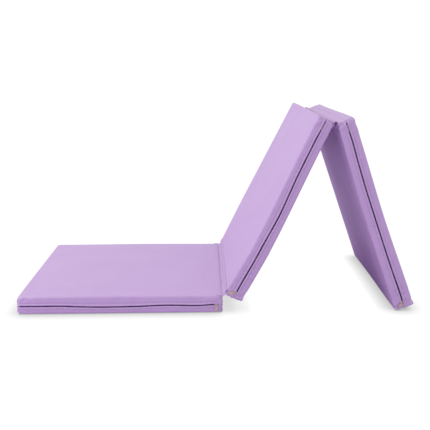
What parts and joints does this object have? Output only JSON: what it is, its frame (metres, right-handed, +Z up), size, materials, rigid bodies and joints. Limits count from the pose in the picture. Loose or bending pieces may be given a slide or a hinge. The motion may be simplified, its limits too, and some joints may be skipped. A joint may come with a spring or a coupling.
{
  "type": "folding gymnastics mat",
  "caption": "Folding gymnastics mat of foam panels in zipped leather covers, joined by sewn fold strips, shown with one panel flat and the others standing as a tent.",
  "frame": {"origin": "middle of the first panel's underside, on the floor", "axes": "+X from the first panel towards the third, +Y from the zip sides to the handle sides, +Z up"},
  "size_m": [1.1708, 0.6318, 0.5883],
  "materials": {
    "cover": "soft satin synthetic leather, lilac",
    "fold_strip": "soft satin synthetic leather, lilac",
    "foam": "matt closed-cell foam",
    "zip_tape": "matt woven tape with moulded coil teeth",
    "pull_metal": "pale satin metal",
    "webbing": "folded and sewn strap"
  },
  "bodies": {
    "panel_1": {"foam_core_1": "foam", "cover_top_1": "cover", "cover_bottom_1": "cover", "zip_tape_top_1": "zip_tape", "zip_tape_bottom_1": "zip_tape", "zip_closed_stop_top_1": "pull_metal", "zip_closed_stop_bottom_1": "pull_metal", "zip_open_stop_1": "pull_metal", "fold_strip_12_on_1": "fold_strip", "handle_end_left_1": "webbing", "handle_end_right_1": "webbing"},
    "panel_2": {"foam_core_2": "foam", "cover_top_2": "cover", "cover_bottom_2": "cover", "zip_tape_top_2": "zip_tape", "zip_tape_bottom_2": "zip_tape", "zip_closed_stop_top_2": "pull_metal", "zip_closed_stop_bottom_2": "pull_metal", "zip_open_stop_2": "pull_metal", "fold_strip_12_on_2": "fold_strip", "fold_strip_23_on_2": "fold_strip"},
    "panel_3": {"foam_core_3": "foam", "cover_top_3": "cover", "cover_bottom_3": "cover", "zip_tape_top_3": "zip_tape", "zip_tape_bottom_3": "zip_tape", "zip_closed_stop_top_3": "pull_metal", "zip_closed_stop_bottom_3": "pull_metal", "zip_open_stop_3": "pull_metal", "fold_strip_23_on_3": "fold_strip", "handle_end_left_3": "webbing", "handle_end_right_3": "webbing"},
    "slider_1": {"zip_slider_1": "pull_metal"},
    "ring_1": {"pull_ring_1": "pull_metal"},
    "tab_1": {"pull_tab_1": "pull_metal"},
    "slider_2": {"zip_slider_2": "pull_metal"},
    "ring_2": {"pull_ring_2": "pull_metal"},
    "tab_2": {"pull_tab_2": "pull_metal"},
    "slider_3": {"zip_slider_3": "pull_metal"},
    "ring_3": {"pull_ring_3": "pull_metal"},
    "tab_3": {"pull_tab_3": "pull_metal"},
    "handle_1": {"handle_grip_1": "webbing"},
    "handle_3": {"handle_grip_3": "webbing"}
  },
  "joints": [
    {"name": "fold_1_2", "type": "hinge", "parent": "panel_1", "child": "panel_2", "pos_m": [0.3015, 0, 0.0555], "axis": [0, -1, 0], "range_deg": [-63, 117]},
    {"name": "fold_2_3", "type": "hinge", "parent": "panel_2", "child": "panel_3", "pos_m": [0.62604, 0, 0.5669], "axis": [0, 1, 0], "range_deg": [-134.16, 45.84]},
    {"name": "zip_slide_1", "type": "slide", "parent": "panel_1", "child": "slider_1", "axis": [-1, 0, 0], "range_m": [0, 0.56]},
    {"name": "pull_lift_1", "type": "hinge", "parent": "slider_1", "child": "ring_1", "pos_m": [0.2808, -0.303, 0.027], "axis": [-1, 0, 0], "range_deg": [0, 175]},
    {"name": "tab_swing_1", "type": "hinge", "parent": "ring_1", "child": "tab_1", "pos_m": [0.2808, -0.303, 0.022], "axis": [0, 1, 0], "range_deg": [-85, 85]},
    {"name": "zip_slide_2", "type": "slide", "parent": "panel_2", "child": "slider_2", "axis": [0.454, 0, 0.891], "range_m": [0, 0.56]},
    {"name": "pull_lift_2", "type": "hinge", "parent": "slider_2", "child": "ring_2", "pos_m": [0.33629, -0.303, 0.06101], "axis": [0.454, 0, 0.891], "range_deg": [0, 175]},
    {"name": "tab_swing_2", "type": "hinge", "parent": "ring_2", "child": "tab_2", "pos_m": [0.33184, -0.303, 0.06328], "axis": [0, 1, 0], "range_deg": [-53, 117]},
    {"name": "zip_slide_3", "type": "slide", "parent": "panel_3", "child": "slider_3", "axis": [-0.3229, 0, 0.9464], "range_m": [0, 0.56]},
    {"name": "pull_lift_3", "type": "hinge", "parent": "slider_3", "child": "ring_3", "pos_m": [0.84107, -0.303, 0.02501], "axis": [-0.3229, 0, 0.9464], "range_deg": [0, 175]},
    {"name": "tab_swing_3", "type": "hinge", "parent": "ring_3", "child": "tab_3", "pos_m": [0.83634, -0.303, 0.02339], "axis": [0, 1, 0], "range_deg": [-57, 113]},
    {"name": "handle_lift_1", "type": "hinge", "parent": "panel_1", "child": "handle_1", "pos_m": [0, 0.3015, 0.027], "axis": [1, 0, 0], "range_deg": [-25, 25]},
    {"name": "handle_lift_3", "type": "hinge", "parent": "panel_3", "child": "handle_3", "pos_m": [0.75039, 0.3015, 0.29076], "axis": [0.3229, 0, -0.9464], "range_deg": [-25, 25]}
  ]
}
